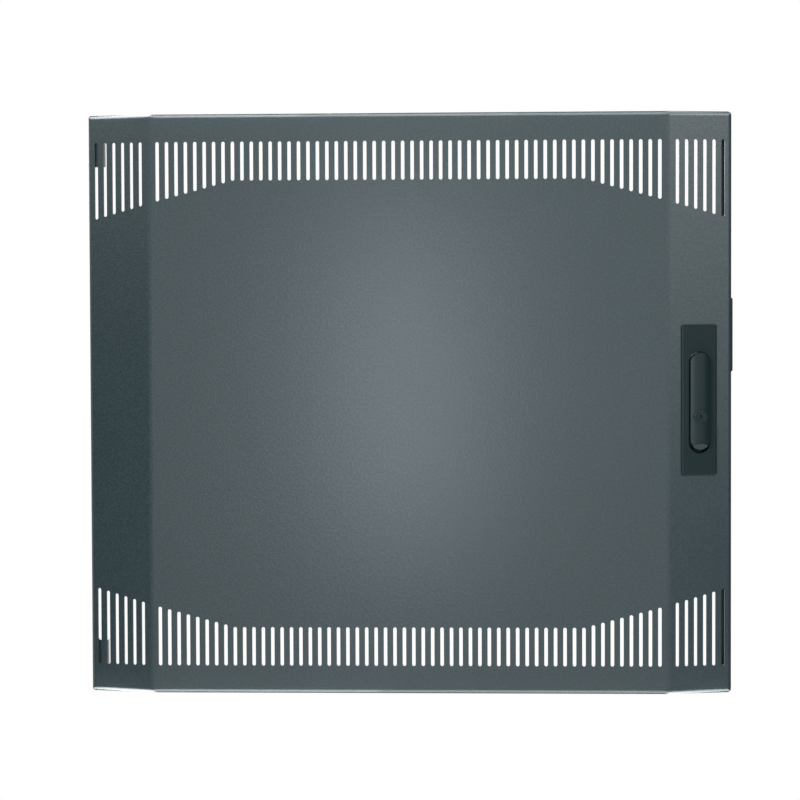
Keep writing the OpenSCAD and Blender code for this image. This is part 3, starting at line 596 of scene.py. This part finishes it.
cool_white = (0.87, 0.94, 1.0)
handle_middle = spindle_at - Vector((0, 0, 0.08))
soft_lamp("key", from_front(1.3, -1.5, 1.1), door_front, 0.9, 0.9, 24, lights=not_lock)
soft_lamp("lock_lamp", from_front(-0.6, -1.1, 0.45), spindle_at, 0.3, 0.3, 7.5, lights=only_lock)
soft_lamp("lock_front", from_front(0.08, -2.3, 0.25), spindle_at, 0.25, 0.25, 6.0,
          lights=only_lock)
soft_lamp("glow", from_front(-0.05, -0.9, -0.01), door_front, 0.09, 0.43, 1.37, cool_white)
soft_lamp("low", from_front(0.4, -0.3, -0.75), handle_middle, 0.3, 0.25, 1.8, lights=only_lock)

# %% [markdown]
# The strip lamps come in spans, because the light line along a bend is brighter in some places
# than in others. Each span has its left and right end, its distance behind the door's front,
# and its radiance. The upright folds part the spans: those over the side facets stand further
# back, as the facets do.

# %% Strip lamps along the upper and lower bends
strip_gap, strip_depth = 0.01, 0.022
fold_x, end_x = 0.241, 0.31
middle_y, facet_y = -0.011, 0.003
half_height = (sheet_high.z - sheet_low.z) / 2
upper_spans = (
    (-end_x, -fold_x, facet_y, 16.0), (-fold_x, -0.1, middle_y, 10.0), (-0.1, 0.1, middle_y, 7.5),
    (0.1, fold_x, middle_y, 6.0), (fold_x, end_x, facet_y, 3.0))
lower_spans = (
    (-end_x, -fold_x, facet_y, 18.0), (-fold_x, -0.03, middle_y, 9.5),
    (-0.03, fold_x, middle_y, 6.5), (fold_x, end_x, facet_y, 13.0))
for side, spans in ((1, upper_spans), (-1, lower_spans)):
    for left_x, right_x, strip_y, radiance in spans:
        width = right_x - left_x
        strip_at = from_front((left_x + right_x) / 2, strip_y, side * (half_height + strip_gap))
        watts = radiance * math.pi * width * strip_depth
        soft_lamp("edge_strip", strip_at, strip_at - Vector((0, 0, side)), width, strip_depth,
                  watts, gloss_only=True, lights=only_sheet)
print("strip lamps:", len(upper_spans) + len(lower_spans))

# %% [markdown]
# The right facet faces away from the glow, so a lamp of its own gives it a faint sheen. A wide
# lamp behind the door lights its flanges, its hinges and the back of its lock.

# %% Lamps for the right facet and the back
right_facet = from_front(0.27, 0, 0.1)
soft_lamp("right_glow", from_front(1.0, -1.25, 0.3), right_facet, 0.5, 0.5, 0.6, gloss_only=True)
soft_lamp("back_fill", from_front(-0.9, 1.9, 1.0), door_front, 1.6, 1.6, 30)
print("lamps in all:", len(bpy.data.lights))

# %% [markdown]
# ## The camera
#
# It stands 2.7 metres in front of the door, a little to the right of its middle and a
# little above it, with a long lens. A long lens from far away keeps the door's upright lines
# nearly parallel. The tilts turn it towards the door's middle.

# %% Camera
camera_data = bpy.data.cameras.new("camera")
camera_data.sensor_width = 36.0
camera_data.lens = 129.16
camera = add_object("camera", camera_data)
camera_at = from_front(0.12688, -2.66318, 0.10722)
turn_left, tilt_down, roll = 2.892, 2.218, -0.212  # degrees
camera.matrix_world = (
    Matrix.Translation(camera_at)
    @ Matrix.Rotation(math.radians(turn_left), 4, "Z")
    @ Matrix.Rotation(math.radians(90 - tilt_down), 4, "X")
    @ Matrix.Rotation(math.radians(roll), 4, "Z")
)
camera_data.clip_start, camera_data.clip_end = 0.05, 60.0
bpy.context.scene.camera = camera
bpy.context.scene.view_settings.view_transform = "Standard"
print("camera at", [round(v, 3) for v in camera.matrix_world.translation])
